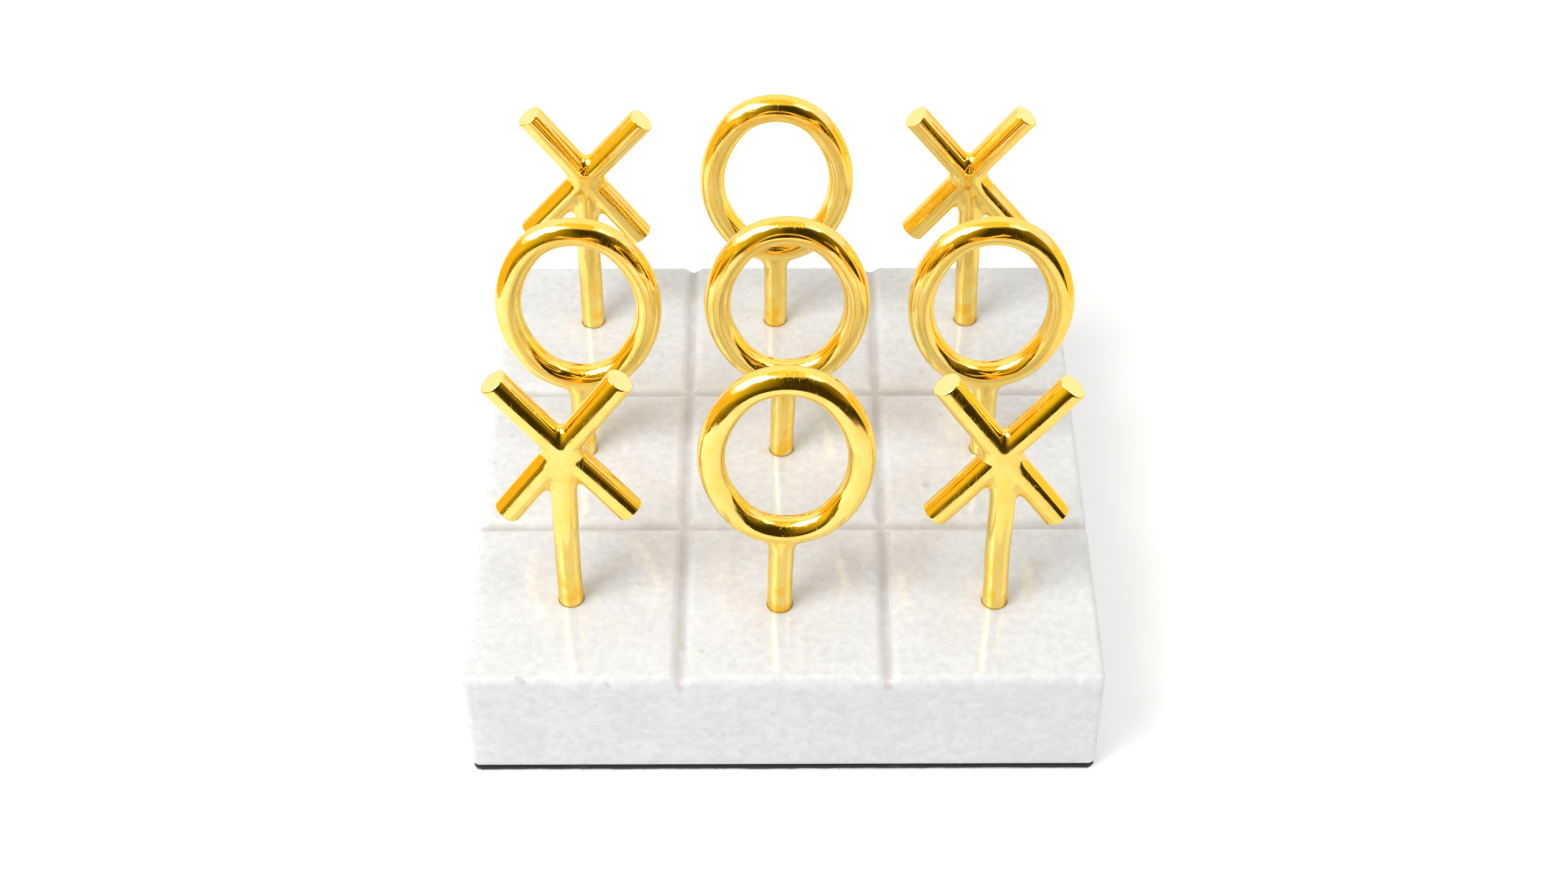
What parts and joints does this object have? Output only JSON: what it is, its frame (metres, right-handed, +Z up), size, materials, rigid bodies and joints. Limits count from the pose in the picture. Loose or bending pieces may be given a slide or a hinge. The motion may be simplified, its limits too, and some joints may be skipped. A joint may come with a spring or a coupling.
{
  "type": "tic-tac-toe board",
  "caption": "Square polished marble block with milled grooves and a felt pad, holding brass noughts and crosses on stems that lift out of drilled holes.",
  "frame": {"origin": "middle of the felt pad's underside, on the surface that the board stands on", "axes": "+X to the right and +Y away from the player who faces the rings' and crosses' flat sides, +Z up along the stems"},
  "size_m": [0.178, 0.178, 0.129],
  "materials": {
    "marble": "polished white crystalline marble",
    "felt": "black pressed felt",
    "brass": "mirror polished, lacquered"
  },
  "bodies": {
    "board": {"marble_block": "marble", "felt_pad": "felt"},
    "cross_front_left": {"cross_front_left_long_rod": "brass", "cross_front_left_upper_rod": "brass", "cross_front_left_lower_rod": "brass", "cross_front_left_stem": "brass"},
    "nought_front_centre": {"nought_front_centre_ring": "brass", "nought_front_centre_stem": "brass"},
    "cross_front_right": {"cross_front_right_long_rod": "brass", "cross_front_right_upper_rod": "brass", "cross_front_right_lower_rod": "brass", "cross_front_right_stem": "brass"},
    "nought_middle_left": {"nought_middle_left_ring": "brass", "nought_middle_left_stem": "brass"},
    "nought_middle_centre": {"nought_middle_centre_ring": "brass", "nought_middle_centre_stem": "brass"},
    "nought_middle_right": {"nought_middle_right_ring": "brass", "nought_middle_right_stem": "brass"},
    "cross_back_left": {"cross_back_left_long_rod": "brass", "cross_back_left_upper_rod": "brass", "cross_back_left_lower_rod": "brass", "cross_back_left_stem": "brass"},
    "nought_back_centre": {"nought_back_centre_ring": "brass", "nought_back_centre_stem": "brass"},
    "cross_back_right": {"cross_back_right_long_rod": "brass", "cross_back_right_upper_rod": "brass", "cross_back_right_lower_rod": "brass", "cross_back_right_stem": "brass"}
  },
  "joints": [
    {"name": "lift_front_left", "type": "slide", "parent": "board", "child": "cross_front_left", "axis": [0, 0, 1], "range_m": [0, 0.02]},
    {"name": "lift_front_centre", "type": "slide", "parent": "board", "child": "nought_front_centre", "axis": [0, 0, 1], "range_m": [0, 0.02]},
    {"name": "lift_front_right", "type": "slide", "parent": "board", "child": "cross_front_right", "axis": [0, 0, 1], "range_m": [0, 0.02]},
    {"name": "lift_middle_left", "type": "slide", "parent": "board", "child": "nought_middle_left", "axis": [0, 0, 1], "range_m": [0, 0.02]},
    {"name": "lift_middle_centre", "type": "slide", "parent": "board", "child": "nought_middle_centre", "axis": [0, 0, 1], "range_m": [0, 0.02]},
    {"name": "lift_middle_right", "type": "slide", "parent": "board", "child": "nought_middle_right", "axis": [0, 0, 1], "range_m": [0, 0.02]},
    {"name": "lift_back_left", "type": "slide", "parent": "board", "child": "cross_back_left", "axis": [0, 0, 1], "range_m": [0, 0.02]},
    {"name": "lift_back_centre", "type": "slide", "parent": "board", "child": "nought_back_centre", "axis": [0, 0, 1], "range_m": [0, 0.02]},
    {"name": "lift_back_right", "type": "slide", "parent": "board", "child": "cross_back_right", "axis": [0, 0, 1], "range_m": [0, 0.02]}
  ]
}
